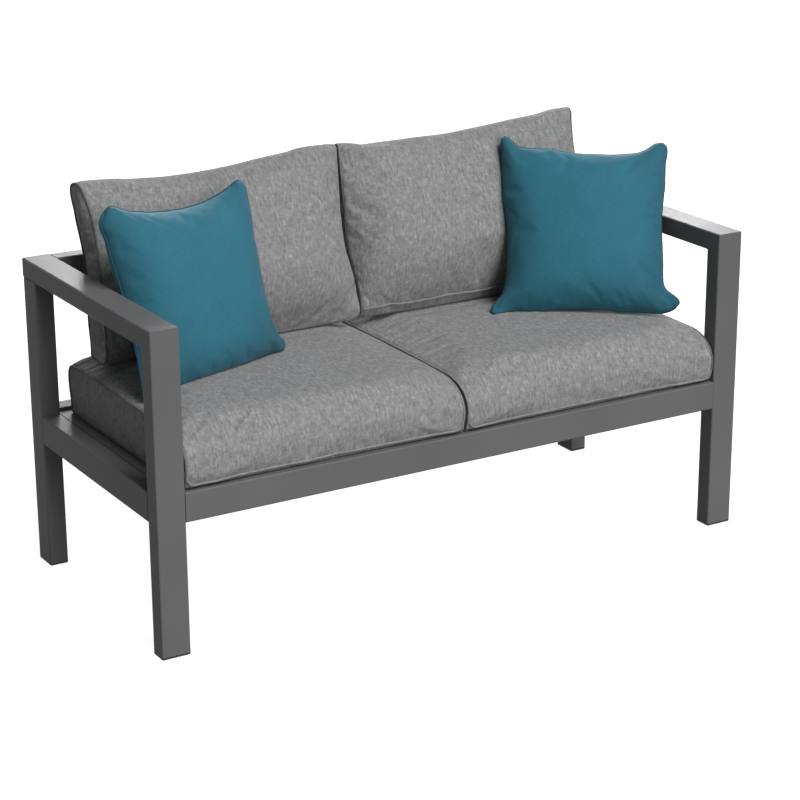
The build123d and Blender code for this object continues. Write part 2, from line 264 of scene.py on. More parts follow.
def moulded_black(name):
    """Black moulded plastic of the foot glides, faintly scuffed."""
    material, tree, surface = shader(name)
    grain, scuff = skin_noise(tree, 700.0), skin_noise(tree, 60.0)
    tone = ramp(tree, scuff, [(0.4, (0.012, 0.012, 0.013)), (0.7, (0.030, 0.030, 0.031))])
    tree.links.new(tone, surface.inputs["Base Color"])
    set_inputs(surface, {"Roughness": 0.6})
    relief(tree, surface, grain, 0.0002, 0.4)
    return material


def stainless(name):
    """Plain stainless steel of the bolts, weld nuts and pins."""
    material, tree, surface = shader(name)
    brush = skin_noise(tree, 450.0)
    tone = ramp(tree, brush, [(0.35, (0.46, 0.46, 0.47)), (0.65, (0.58, 0.58, 0.59))])
    tree.links.new(tone, surface.inputs["Base Color"])
    set_inputs(surface, {"Metallic": 1.0, "Roughness": 0.32})
    relief(tree, surface, brush, 0.0001, 0.3)
    return material


# Meshes

def new_piece(name, mesh, material):
    """An object of a mesh at the origin, with one material."""
    piece = bpy.data.objects.new(name, mesh)
    bpy.context.scene.collection.objects.link(piece)
    mesh.materials.clear()
    mesh.materials.append(material)
    return piece


def mesh_of(name, points, faces):
    """Mesh with its normals turned outwards."""
    mesh = bpy.data.meshes.new(name)
    mesh.from_pydata([tuple(p) for p in points], [], faces)
    mesh.update()
    work = bmesh.new()
    work.from_mesh(mesh)
    bmesh.ops.recalc_face_normals(work, faces=work.faces)
    if work.calc_volume(signed=True) < 0:
        bmesh.ops.reverse_faces(work, faces=work.faces)
    work.to_mesh(mesh)
    work.free()
    return mesh


def finished(piece):
    """The piece's mesh with its modifiers applied, and the modifiers taken off."""
    depsgraph = bpy.context.evaluated_depsgraph_get()
    mesh = bpy.data.meshes.new_from_object(piece.evaluated_get(depsgraph), depsgraph=depsgraph)
    piece.modifiers.clear()
    old = piece.data
    piece.data = mesh
    bpy.data.meshes.remove(old)
    return mesh


def points_of(mesh):
    """Vertex places as an array."""
    flat = np.empty(len(mesh.vertices) * 3)
    mesh.vertices.foreach_get("co", flat)
    return flat.reshape(-1, 3)


def set_points(mesh, points):
    """Writes vertex places back."""
    mesh.vertices.foreach_set("co", np.asarray(points, dtype=float).ravel())
    mesh.update()


def normals_of(mesh):
    """Vertex normals as an array."""
    flat = np.empty(len(mesh.vertices) * 3)
    mesh.vertices.foreach_get("normal", flat)
    return flat.reshape(-1, 3)


def corners_of(mesh):
    """Vertex of each face corner."""
    corners = np.empty(len(mesh.loops), dtype=int)
    mesh.loops.foreach_get("vertex_index", corners)
    return corners


def skin_of(mesh):
    """Surface tree of a mesh, for finding its nearest point."""
    return BVHTree.FromPolygons(
        [tuple(p) for p in points_of(mesh)], [tuple(face.vertices) for face in mesh.polygons])


def arc_points(start, middle, end, count):
    """Points from start up to, not including, end on the circle through middle."""
    (ax, ay), (bx, by), (cx, cy) = start, middle, end
    d = 2 * (ax * (by - cy) + bx * (cy - ay) + cx * (ay - by))
    if abs(d) < 1e-9:
        steps = np.linspace(0, 1, count, endpoint=False)[:, None]
        return np.array(start) * (1 - steps) + np.array(end) * steps
    ux = ((ax**2 + ay**2) * (by - cy) + (bx**2 + by**2) * (cy - ay)
          + (cx**2 + cy**2) * (ay - by)) / d
    uy = ((ax**2 + ay**2) * (cx - bx) + (bx**2 + by**2) * (ax - cx)
          + (cx**2 + cy**2) * (bx - ax)) / d
    radius = math.hypot(ax - ux, ay - uy)
    first = math.atan2(ay - uy, ax - ux)
    half = math.atan2(by - uy, bx - ux) - first
    last = math.atan2(cy - uy, cx - ux) - first
    turn = 2 * math.pi
    half, last = half % turn, last % turn
    if half > last:
        last -= turn
    angles = first + np.linspace(0, last, count, endpoint=False)
    return np.stack([ux + radius * np.cos(angles), uy + radius * np.sin(angles)], 1)


def distance_to(points, line):
    """Distance of each point to the nearest point of a dense line, and that point's index."""
    tree = KDTree(len(line))
    for index, place in enumerate(line):
        tree.insert(place, index)
    tree.balance()
    found = [tree.find(place) for place in points]
    return np.array([gap for _, _, gap in found]), np.array([index for _, index, _ in found])


def ripple(points, scale, seed):
    """Smooth noise from -1 to 1 at each point."""
    offset = Vector((seed * 7.3, seed * 3.1, seed * 5.7))
    return np.array([noise.noise(Vector(p) * scale + offset) for p in points])


# Stuffing

def remeshed(piece):
    """Even quads over a closed piece."""
    remesh = piece.modifiers.new("even", "REMESH")
    remesh.mode = "VOXEL"
    remesh.voxel_size = VOXEL
    return finished(piece)


def stuff(piece, held, slack, cap):
    """Blows the cover up as cloth under pressure, held along its seams.

    held says which vertices are held, slack how much wider the cloth is cut than the
    form, and cap how far a point may move."""
    rest = points_of(piece.data)
    group = piece.vertex_groups.new(name="held")
    group.add(np.nonzero(held)[0].tolist(), 1.0, "REPLACE")
    cloth = piece.modifiers.new("cover", "CLOTH")
    settings = cloth.settings
    settings.quality = 4
    settings.mass = 0.35
    settings.tension_stiffness = 18
    settings.compression_stiffness = 12
    settings.shear_stiffness = 6
    settings.bending_stiffness = 0.6
    settings.use_pressure = True
    settings.uniform_pressure_force = PRESSURE
    settings.shrink_min = -slack
    settings.vertex_group_mass = "held"
    settings.pin_stiffness = 1.0
    settings.effector_weights.gravity = 0.0
    cloth.collision_settings.use_collision = False
    cloth.point_cache.frame_start = 1
    cloth.point_cache.frame_end = SETTLE_FRAMES
    scene = bpy.context.scene
    for step in range(1, SETTLE_FRAMES + 1):
        scene.frame_set(step)
    mesh = finished(piece)
    scene.frame_set(1)
    moved = points_of(mesh) - rest
    length = np.linalg.norm(moved, axis=1)
    scale = np.minimum(1.0, cap / np.maximum(length, 1e-9))
    set_points(mesh, rest + moved * scale[:, None])
    piece.vertex_groups.clear()


def subdivided(piece):
    """One level of subdivision, applied."""
    smooth = piece.modifiers.new("smooth", "SUBSURF")
    smooth.levels = 1
    smooth.render_levels = 1
    mesh = finished(piece)
    mesh.polygons.foreach_set("use_smooth", np.ones(len(mesh.polygons), dtype=bool))
    return mesh


# Piping

def piping_tree():
    """Node tree that turns a line of edges into a corded seam."""
    tree = bpy.data.node_groups.new("piping", "GeometryNodeTree")
    interface = tree.interface
    interface.new_socket("Geometry", in_out="INPUT", socket_type="NodeSocketGeometry")
    for name, kind, default in (
            ("Radius", "NodeSocketFloat", PIPING_RADIUS), ("Spacing", "NodeSocketFloat", 0.004),
            ("Sides", "NodeSocketInt", 8)):
        socket = interface.new_socket(name, in_out="INPUT", socket_type=kind)
        socket.default_value = default
    interface.new_socket("Cloth", in_out="INPUT", socket_type="NodeSocketMaterial")
    interface.new_socket("Geometry", in_out="OUTPUT", socket_type="NodeSocketGeometry")
    nodes, links = tree.nodes, tree.links
    given = nodes.new("NodeGroupInput")
    result = nodes.new("NodeGroupOutput")
    line = nodes.new("GeometryNodeMeshToCurve")
    even = nodes.new("GeometryNodeResampleCurve")
    even.mode = "LENGTH"
    ring = nodes.new("GeometryNodeCurvePrimitiveCircle")
    sweep = nodes.new("GeometryNodeCurveToMesh")
    along = nodes.new("GeometryNodeSplineParameter")
    around = nodes.new("GeometryNodeSplineParameter")
    keep_along = nodes.new("GeometryNodeStoreNamedAttribute")
    keep_around = nodes.new("GeometryNodeStoreNamedAttribute")
    for keep, name in ((keep_along, "along"), (keep_around, "around")):
        keep.data_type = "FLOAT"
        keep.domain = "POINT"
        keep.inputs["Name"].default_value = name
    real = nodes.new("GeometryNodeRealizeInstances")
    paint = nodes.new("GeometryNodeSetMaterial")
    shade = nodes.new("GeometryNodeSetShadeSmooth")
    links.new(given.outputs["Geometry"], line.inputs["Mesh"])
    links.new(line.outputs["Curve"], even.inputs["Curve"])
    links.new(given.outputs["Spacing"], even.inputs["Length"])
    links.new(even.outputs["Curve"], keep_along.inputs["Geometry"])
    links.new(along.outputs["Length"], keep_along.inputs["Value"])
    links.new(given.outputs["Sides"], ring.inputs["Resolution"])
    links.new(given.outputs["Radius"], ring.inputs["Radius"])
    links.new(ring.outputs["Curve"], keep_around.inputs["Geometry"])
    links.new(around.outputs["Length"], keep_around.inputs["Value"])
    links.new(keep_along.outputs["Geometry"], sweep.inputs["Curve"])
    links.new(keep_around.outputs["Geometry"], sweep.inputs["Profile Curve"])
    sweep.inputs["Fill Caps"].default_value = True
    links.new(sweep.outputs["Mesh"], real.inputs["Geometry"])
    links.new(real.outputs["Geometry"], shade.inputs["Geometry"])
    links.new(shade.outputs["Geometry"], paint.inputs["Geometry"])
    links.new(given.outputs["Cloth"], paint.inputs["Material"])
    links.new(paint.outputs["Geometry"], result.inputs["Geometry"])
    return tree


def set_on_modifier(modifier, name, value):
    """Sets a node group's named input on its modifier."""
    for item in modifier.node_group.interface.items_tree:
        if item.in_out == "INPUT" and item.name == name:
            modifier[item.identifier] = value


def piping(name, runs, radius, material, tree):
    """Cord sewn in along runs of points; a run is (points, closed)."""
    places, edges = [], []
    for points, closed in runs:
        first = len(places)
        places += [tuple(p) for p in points]
        edges += [(first + i, first + i + 1) for i in range(len(points) - 1)]
        if closed:
            edges.append((first + len(points) - 1, first))
    mesh = bpy.data.meshes.new(name)
    mesh.from_pydata(places, edges, [])
    piece = new_piece(name, mesh, material)
    modifier = piece.modifiers.new("piping", "NODES")
    modifier.node_group = tree
    set_on_modifier(modifier, "Radius", radius)
    set_on_modifier(modifier, "Cloth", material)
    lay_on_cord(finished(piece))
    return piece


def lay_on_cord(mesh):
    """Cloth coordinates of a cord: turned to the bias, as piping is cut."""
    along = np.zeros(len(mesh.vertices))
    around = np.zeros(len(mesh.vertices))
    mesh.attributes["along"].data.foreach_get("value", along)
    mesh.attributes["around"].data.foreach_get("value", around)
    spots = np.stack([along + around, along - around], 1) * math.sqrt(0.5)
    write_cloth(mesh, spots)


def write_cloth(mesh, spots):
    """Stores cloth coordinates, given for each vertex, in the cloth UV map."""
    layer = mesh.uv_layers.get("cloth") or mesh.uv_layers.new(name="cloth")
    layer.data.foreach_set("uv", spots[corners_of(mesh)].ravel())


# Loose seat and back cushions: one panel wrapped round, and a panel at each side

def bent(start, end, bulge_y, bulge_z, count):
    """Arc from start to end whose middle stands off the chord."""
    middle = ((start[0] + end[0]) / 2 + bulge_y, (start[1] + end[1]) / 2 + bulge_z)
    return arc_points(start, middle, end, count)


def quarter(start, end, rise_first, count):
    """Quarter of an ellipse from start to end, upright at start or at end."""
    turns = np.linspace(0, math.pi / 2, count, endpoint=False)
    early, late = np.sin(turns), 1 - np.cos(turns)
    across, up = (late, early) if rise_first else (early, late)
    return np.stack([start[0] + across * (end[0] - start[0]),
                     start[1] + up * (end[1] - start[1])], 1)


def seat_profile(share):
    """Section of a seat cushion, front to back: waterfall front and crowned top."""
    swell = swell_at(share, 5.0, 0.5)
    y_front, y_rear = FRONT + 0.0020, 0.2425
    y_nose, y_tail = y_front - 0.0025 * swell, y_rear + 0.0065 * swell
    z_top = SEAT_BASE + 0.102 + 0.016 * swell
    nose, brow = (y_nose, SEAT_BASE + 0.050), (y_nose + 0.085, z_top)
    crest, tail = (y_tail - 0.024, z_top + 0.002), (y_tail, SEAT_BASE + 0.080)
    foot, heel = (y_front + 0.018, SEAT_BASE), (y_rear - 0.006, SEAT_BASE)
    toe = (y_front + 0.0040, SEAT_BASE + 0.013)
    return np.concatenate([
        quarter(foot, toe, False, 4), bent(toe, nose, -0.002, 0, 8),
        quarter(nose, brow, True, 20), bent(brow, crest, 0, 0.002 + 0.004 * swell, 40),
        quarter(crest, tail, False, 7), bent(tail, heel, 0.002, 0, 12),
        bent(heel, foot, 0, 0, 40)])


def back_profile(share, inner, outer, base, top):
    """Section of a back cushion: full low front, rounded head, belly against the rail.

    inner runs from 0 at the arm, where the side is a flat boxing, to 1 at the sofa's
    middle, where the front rolls off. outer gives the boxing's depths from the frame's
    back: waist, head and crown, rear and front."""
    swell = swell_at(share, 4.0, 0.5)
    turn = smooth_step(inner)

    def spot(boxed, rolled, full, height):
        side = boxed + (rolled - boxed) * turn
        return BACK - side - (full - side) * swell, height

    rear_foot, front_foot = spot(0.144, 0.126, 0.126, base), spot(0.186, 0.164, 0.178, base)
    rear_heel = spot(0.124, 0.106, 0.106, base + 0.028)
    front_toe = spot(0.208, 0.182, 0.199, base + 0.028)
    rear_waist = spot(outer["rear_waist"], 0.098, 0.046, base + 0.145)
    front_waist = spot(outer["front_waist"], 0.136, 0.222, base + 0.150)
    rear_head = spot(outer["rear_head"], 0.070, 0.070, top - 0.021)
    front_head = spot(outer["front_head"], 0.096, 0.120, top - 0.016 - 0.010 * swell)
    crown = spot(outer["crown"], 0.086, 0.094, top)
    low = -0.004 - 0.008 * swell
    high = -0.012 * swell + (outer["bulge"] * (1 - turn) - 0.004 * turn) * (1 - swell)
    rear = 0.0108 * swell + outer["bulge"] * 0.8 * (1 - turn) * (1 - swell)
    return np.concatenate([
        quarter(front_foot, front_toe, False, 7),
        bent(front_toe, front_waist, low, -0.004 * swell, 16),
        bent(front_waist, front_head, high, 0.004, 22),
        quarter(front_head, crown, True, 6), quarter(crown, rear_head, False, 6),
        bent(rear_head, rear_waist, rear, 0, 22),
        bent(rear_waist, rear_heel, 0.005, 0, 16),
        quarter(rear_heel, rear_foot, True, 6), bent(rear_foot, front_foot, 0, 0, 10)])


def middle_line(height):
    """Where the two back cushions meet, by height over their base: it bows to the left."""
    bow, start, length = 0.013, 0.02, 0.36
    return -bow * np.sin(math.pi * np.clip((height - start) / length, 0, 1))


def eased(table, places, rounds=60):
    """Smooth curve through (place, value) pairs."""
    table = np.array(table, dtype=float)
    fine = np.linspace(table[0, 0], table[-1, 0], 201)
    values = np.interp(fine, table[:, 0], table[:, 1])
    for _ in range(rounds):
        values[1:-1] = (values[:-2] + 2 * values[1:-1] + values[2:]) / 4
    return np.interp(places, fine, values)


def smooth_step(value):
    """From 0 to 1 without a kink at either end."""
    value = np.clip(value, 0, 1)
    return value * value * (3 - 2 * value)


def swell_at(share, power, root):
    """How full a cushion is at a share of its width."""
    return max(0.0, 1.0 - abs(2.0 * share - 1.0) ** power) ** root


def cover_form(name, profile, ends, draws, bow, stations):
    """Closed form of a cushion, the seam loops round its two side panels and a middle section.

    draws say how far the middle of each side panel is pulled in. bow is the end that
    follows the middle line, -1 or 1, or 0."""
    shares = 0.5 - 0.5 * np.cos(np.linspace(0, math.pi, stations))
    rings = []
    for share in shares:
        ring = profile(share)
        low, high = ring.min(0), ring.max(0)
        spot = (ring - low) / (high - low)
        pull = (1 - (2 * spot[:, 0] - 1) ** 2) * (1 - (2 * spot[:, 1] - 1) ** 6)
        pull = np.maximum(pull, 0)
        x = ends[0] + (ends[1] - ends[0]) * share
        x = x + draws[0] * pull * (1 - share) ** 2 - draws[1] * pull * share ** 2
        if bow:
            near = share if bow > 0 else 1 - share
            x = x + middle_line(ring[:, 1] - low[1]) * near ** 2
        rings.append(np.column_stack([x, ring[:, 0], ring[:, 1]]))
    count = len(rings[0])
    points = np.concatenate(rings)
    faces = []
    for station in range(stations - 1):
        first = station * count
        for index in range(count):
            after = (index + 1) % count
            faces.append((first + index, first + after,
                          first + count + after, first + count + index))
    faces.append(tuple(range(count)))
    faces.append(tuple(range((stations - 1) * count, stations * count)))
    return mesh_of(name, points, faces), rings[0], rings[-1], profile(0.3)


def dense(line, spacing, closed=True):
    """The line with points at most a spacing apart."""
    ends = np.roll(line, -1, axis=0) if closed else line[1:]
    starts = line if closed else line[:-1]
    out = []
    for a, b in zip(starts, ends):
        count = max(1, int(math.ceil(np.linalg.norm(b - a) / spacing)))
        out += [a + (b - a) * step / count for step in range(count)]
    return np.array(out)


def lay_on_cushion(mesh, middle):
    """Cloth coordinates: along the wrap on the wrapped panel, upright on the side panels."""
    points = points_of(mesh)
    loop = dense(middle, 0.002)
    length = np.concatenate([[0], np.cumsum(np.linalg.norm(np.diff(loop, axis=0), axis=1))])
    _, nearest = distance_to(
        points * [0, 1, 1], np.column_stack([np.zeros(len(loop)), loop]))
    wrapped = np.column_stack([points[:, 0], length[nearest]])
    sides = points[:, 1:3].copy()
    corners = corners_of(mesh)
    facing = np.empty(len(mesh.polygons) * 3)
    mesh.polygons.foreach_get("normal", facing)
    totals = np.empty(len(mesh.polygons), dtype=int)
    mesh.polygons.foreach_get("loop_total", totals)
    side = np.repeat(np.abs(facing.reshape(-1, 3)[:, 0]) > SIDE_FACING, totals)
    spots = np.where(side[:, None], sides[corners], wrapped[corners])
    layer = mesh.uv_layers.new(name="cloth")
    layer.data.foreach_set("uv", spots.ravel())


def pucker(mesh, seams, depth, reach, pitch, seed):
    """Small gathers that run in from the seams and fade with distance, none on the seam itself."""
    points = points_of(mesh)
    gap, index = distance_to(points, seams)
    wave = ripple(seams[index], 1.0 / pitch, seed)
    fade = np.exp(-gap / reach) * (1 - np.exp(-gap / 0.006))
    set_points(mesh, points + normals_of(mesh) * (wave * fade * depth)[:, None])


def sewn_cushion(name, profile, ends, settings, cloth, tree, hem):
    """A stuffed cushion with piping round its side panels and along its front hem.

    The piping of the outer side, which stands in shade, is a piece of its own in a darker cloth:
    painted shade.
    settings: slack and cap of the stuffing; depths of the gathers and of the slow drift, with
    their seed; draws and bow of the form; folds, the x of a side panel with slack folds; outer,
    the side panel at the arm (0 left, 1 right); room, depth and load, which settle_in keeps."""
    mesh, low, high, middle = cover_form(
        name, profile, ends, settings["draws"], settings.get("bow", 0), 60)
    piece = new_piece(name, mesh, cloth[0])
    seams = np.concatenate([dense(low, 0.003), dense(high, 0.003)])
    points = points_of(remeshed(piece))
    base = points[:, 2].min()
    gap, _ = distance_to(points, seams)
    held = (gap < VOXEL * 1.1) | (points[:, 2] < base + REST_BAND)
    stuff(piece, held, settings["slack"], settings["cap"])
    mesh = subdivided(piece)
    pucker(mesh, seams, settings["gather"], 0.035, 0.022, settings["seed"])
    drape = points_of(mesh)
    calm = np.clip((drape[:, 2] - base - 0.004) / 0.03, 0, 1)
    wave = ripple(drape, 9.0, settings["seed"] + 3) * settings["drift"] * calm
    drape += normals_of(mesh) * wave[:, None]
    if "folds" in settings:
        folded(drape, base, settings["folds"], settings["seed"])
    settle_in(drape, base, settings)
    set_points(mesh, drape)
    lay_on_cushion(mesh, middle)
    skin = skin_of(mesh)
    runs = [(hugging(low, skin, True), True), (hugging(high, skin, True), True)]
    if hem is not None:
        runs.append((hugging(hem, skin, False), False))
    for line, _ in runs:
        settle_in(line, base, settings, PIPING_RADIUS)
    # The outer side's cord takes the darker cloth, cloth[2], which is painted shade.
    outer = runs.pop(settings["outer"])
    return (piece, piping(name + "_piping", runs, PIPING_RADIUS, cloth[1], tree),
            piping(name + "_painted_shade_cord", [outer], PIPING_RADIUS, cloth[2], tree))


def front_hem(x_low, x_high, y, z, radius, rise):
    """Front seam of a seat cushion: level, turning up at both ends."""
    steps = np.linspace(0, math.pi / 2, 7)
    left = [(x_low, z + rise)]
    left += [(x_low + radius - radius * math.cos(t), z + radius - radius * math.sin(t))
             for t in steps]
    right = [(x_low + x_high - x, height) for x, height in reversed(left)]
    line = np.array([(x, y, height) for x, height in left + right])
    line = dense(line, 0.008, closed=False)
    line[:, 2] += np.array([noise.noise(Vector((p[0] * 18, 1.7, 0))) for p in line]) * 0.0012
    return line


def folded(points, base, side, seed):
    """Slack upright folds low on the outer side panel."""
    depth, reach, middle, spread, clear = 0.010, 0.030, 0.060, 0.050, 0.020
    beside = np.clip(1 - np.abs(points[:, 0] - side) / reach, 0, 1)
    height = points[:, 2] - base
    low = np.exp(-((height - middle) / spread) ** 2) * np.clip(height / clear, 0, 1)
    crease = np.abs(ripple(points * [0, 52, 11], 1.0, seed + 7))
    points[:, 0] -= math.copysign(1, side) * crease * depth * beside * low


def hugging(line, skin, closed):
    """The line laid on the cover, half sunk in and smoothed along its run."""
    line = dense(line, 0.004, closed)
    placed = []
    for place in line:
        spot, normal, _, _ = skin.find_nearest(Vector(place))
        placed.append(spot + normal * PIPING_RADIUS * CORD_SHOWING)
    placed = np.array(placed)
    for _ in range(4):
        ahead, behind = np.roll(placed, -1, axis=0), np.roll(placed, 1, axis=0)
        smooth = (ahead + 2 * placed + behind) / 4
        if not closed:
            smooth[0], smooth[-1] = placed[0], placed[-1]
        placed = smooth
    return placed


def settle_in(points, base, settings, inset=0.0):
    """Keeps the cover clear of what it rests on, leans on and stands beside.

    room and depth are limits in x and y. load is for a seat under a back cushion: the y where
    that begins to bear, the y where it bears fully, the height it leaves there, and how much
    more is left in front. inset keeps the middle line of a cord that much further inside."""
    (left, right), (front, rear) = settings["room"], settings["depth"]
    points[:, 0] = np.clip(points[:, 0], left + inset, right - inset)
    points[:, 1] = np.clip(points[:, 1], front + inset, rear - inset)
    points[:, 2] = np.maximum(points[:, 2], base + inset)
    if settings.get("bow"):
        line = middle_line(points[:, 2] - base)
        if settings["bow"] > 0:
            points[:, 0] = np.minimum(points[:, 0], line - SLIT_HALF - inset)
        else:
            points[:, 0] = np.maximum(points[:, 0], RIGHT_BOW * line + SLIT_HALF + inset)
    if "load" in settings:
        y_free, y_loaded, level, free_rise = settings["load"]
        under = smooth_step((points[:, 1] - y_free) / (y_loaded - y_free))
        ceiling = level + (1 - under) * free_rise
        points[:, 2] = np.minimum(points[:, 2], ceiling - inset)


# Throw pillows

def pillow_form(half, dips, depth, curl, count):
    """Knife-edged pillow on a grid: points, faces, the loop of its edge, cloth coordinates.

    The two lower ears curl that far forward, where they lie on the seat.
    dips say how far each edge runs inside the square through the ears, in mm: pairs of
    a place along the edge from -1 to 1 and a depth, for the top, right, bottom and left."""
    steps = np.linspace(-1, 1, count)
    steps = np.sin(steps * math.pi / 2) * 0.35 + steps * 0.65
    u, v = np.meshgrid(steps, steps, indexing="ij")
    top, right, bottom, left = (eased(table, steps, 14) / 1000 for table in dips)
    ear = 1 - 0.045 * (u * v) ** 24  # rounds the very corners
    reach = 2.6  # how quickly a dip of the edge fades towards the middle
    x = half * u * ear
    x = x - right[None, :] * ((1 + u) / 2) ** reach + left[None, :] * ((1 - u) / 2) ** reach
    z = half * v * ear
    z = z - top[:, None] * ((1 + v) / 2) ** reach + bottom[:, None] * ((1 - v) / 2) ** reach
    low = v - 0.14 * (1 - v**2)  # the filling has sunk a little
    full = ((1 - u**2) * (1 - low**2)) ** 0.42
    full = full * depth / 2
    curl = curl * (np.abs(u) * (1 - v) / 2) ** 9
    near = np.stack([x, -full - curl, z], -1).reshape(-1, 3)
    far = np.stack([x, full - curl, z], -1).reshape(-1, 3)
    index = np.arange(count * count).reshape(count, count)
    rim = np.zeros((count, count), dtype=bool)
    rim[0], rim[-1], rim[:, 0], rim[:, -1] = True, True, True, True
    other = np.where(rim, index, 0)
    inner = np.nonzero(~rim.ravel())[0]
    other = other.ravel()
    other[inner] = count * count + np.arange(len(inner))
    other = other.reshape(count, count)
    points = np.concatenate([near, far[inner]])
    faces = []
    for i in range(count - 1):
        for j in range(count - 1):
            quad = ((i, j), (i + 1, j), (i + 1, j + 1), (i, j + 1))
            faces.append(tuple(int(index[p]) for p in quad))
            faces.append(tuple(int(other[p]) for p in reversed(quad)))
    edge = np.concatenate([
        index[:-1, 0], index[-1, :-1], index[:0:-1, -1], index[0, :0:-1]])
    spots = np.stack([x, z], -1).reshape(-1, 2)
    spots = np.concatenate([spots, spots[inner] * [-1, 1]])
    return points, faces, edge, spots


def pressed_on(points, skins, gap):
    """Moves points that lie in or on the given covers out to a gap from them."""
    for skin in skins:
        for index, place in enumerate(points):
            spot, normal, _, _ = skin.find_nearest(Vector(place))
            if spot is not None and (Vector(place) - spot).dot(normal) < gap:
                points[index] = spot + normal * gap


def throw_pillow(name, place, turns, half, dips, curl, seed, cloth, tree, skins):
    """A stuffed throw pillow with its own piping, turned and leaned in its place."""
    points, faces, edge, spots = pillow_form(half, dips, PILLOW_DEPTH, curl, 66)
    piece = new_piece(name, mesh_of(name, points, faces), cloth[0])
    held = np.zeros(len(points), dtype=bool)
    held[edge] = True
    stuff(piece, held, 0.012, 0.012)
    mesh = piece.data
    write_cloth(mesh, spots)
    soft = points_of(mesh)
    unevenness = 0.0022
    sag = ripple(soft, 7.0, seed) * unevenness
    free = 1 - np.exp(-distance_to(soft, soft[edge])[0] / 0.03)
    soft = soft + normals_of(mesh) * (sag * free)[:, None]
    soft[edge, 1] += ripple(soft[edge], 16.0, seed + 2) * unevenness
    turn, lean, roll = (math.radians(angle) for angle in turns)
    matrix = (Matrix.Translation(Vector(place)) @ Matrix.Rotation(turn, 4, "Z")
              @ Matrix.Rotation(-lean, 4, "X") @ Matrix.Rotation(roll, 4, "Y"))
    turned = np.array(matrix)[:3, :3]
    soft = soft @ turned.T + np.array(matrix)[:3, 3]
    set_points(mesh, soft)
    mesh = subdivided(piece)
    soft = points_of(mesh)
    pressed_on(soft, skins, COVER_GAP)
    set_points(mesh, soft)
    line = dense(soft[edge], 0.004)
    pressed_on(line, skins, PILLOW_PIPING_RADIUS + CORD_GAP)
    return piece, piping(
        name + "_piping", [(line, True)], PILLOW_PIPING_RADIUS, cloth[1], tree)


# The frame's finishes

finishes = {
    "frame_metal": powder_coat("charcoal_powder_coat"),
    "glide_plastic": moulded_black("moulded_black_plastic"),
    "fastener_steel": stainless("stainless_steel"),
    "cushion_fabric": heather_grey("heather_grey_cloth"),
    # The pillow cloth carries painted shade towards the pillow's edges.
    "pillow_fabric": teal_cloth("teal_pillow_cloth_painted_shade", PILLOW_HALF),
}
for entry in frame["record"]["subparts"]:
    part = frame["nodes"][entry["node"]]
    part.data.materials.clear()
    part.data.materials.append(finishes[entry["material_slot"]])

# The piping cloth is a touch lighter than the cover, a slight painted highlight for the lit hem
# cord; the much darker copy is painted shade for the cord on the outer side, which stands in
# shade.
grey_cloth = (finishes["cushion_fabric"], heather_grey("heather_grey_piping", 1.02, 0.5),
              heather_grey("heather_grey_piping_painted_shade", 0.55, 0.5))
# The pillow piping is the teal cloth at half its lightness: painted shade for the cord's dark
# outline.
pillow_cloth = (finishes["pillow_fabric"], teal_cloth("teal_pillow_piping_painted_shade", level=0.5))
cord_tree = piping_tree()


# The cushions and pillows in their places

def seat_cushion(side, sign, seed):
    """One seat cushion between the arm and the sofa's middle."""
    ends = sorted((sign * 0.0046, sign * (WALL_X - 0.0036)))
    settings = {
        "slack": 0.012, "cap": 0.009, "gather": 0.0018, "drift": 0.0022, "seed": seed,
        "load": (0.02, 0.09, 0.4588, 0.012), "draws": (0.004, 0.0)[::-sign],
        "outer": (sign + 1) // 2, "room": sorted((sign * 0.0018, sign * (WALL_X - 0.0005))),
        "depth": (FRONT - 0.0005, 0.2595)}
    hem = front_hem(
        ends[0] + 0.004, ends[1] - 0.004, FRONT + 0.0060, SEAT_BASE + 0.0085, 0.014, 0.030)
    return sewn_cushion(
        side + "_seat_cover", seat_profile, ends, settings, grey_cloth, cord_tree, hem)


def back_cushion(side, sign, heads, outer, seed):
    """One back cushion; the right one shows piping along its front hem.

    heads are pairs of a share of its width and its height there, in mm."""
    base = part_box(side + "_back_cushion")[0][2]
    edge = sign * (WALL_X - BACK_SIDE_GAP)
    ends = sorted((sign * 0.0018, edge))

    def profile(share):
        corner = 1 - swell_at(share, 14.0, 0.5)
        top = base + eased(heads, share) / 1000 - 0.004 * corner
        return back_profile(share, share if sign < 0 else 1 - share, outer, base, top)

    settings = {
        "slack": 0.018, "cap": 0.010, "gather": 0.0024, "drift": 0.0030, "seed": seed,
        "folds": edge, "bow": -sign, "draws": (0.010, 0.004)[::-sign], "outer": (sign + 1) // 2,
        "room": (min(edge, 0.0) - 0.010, max(edge, 0.0) + 0.010), "depth": (-1.0, 0.2597)}
    hem = None
    if sign > 0:
        steps = np.linspace(ends[0] + 0.004, ends[1] - 0.004, 70)
        hem = np.array([(x, BACK - 0.206 + 0.030 * math.exp(-x / 0.015),
                         base + 0.023 + 0.001 * math.sin(x * 37)) for x in steps])
    return sewn_cushion(
        side + "_back_cover", profile, ends, settings, grey_cloth, cord_tree, hem)


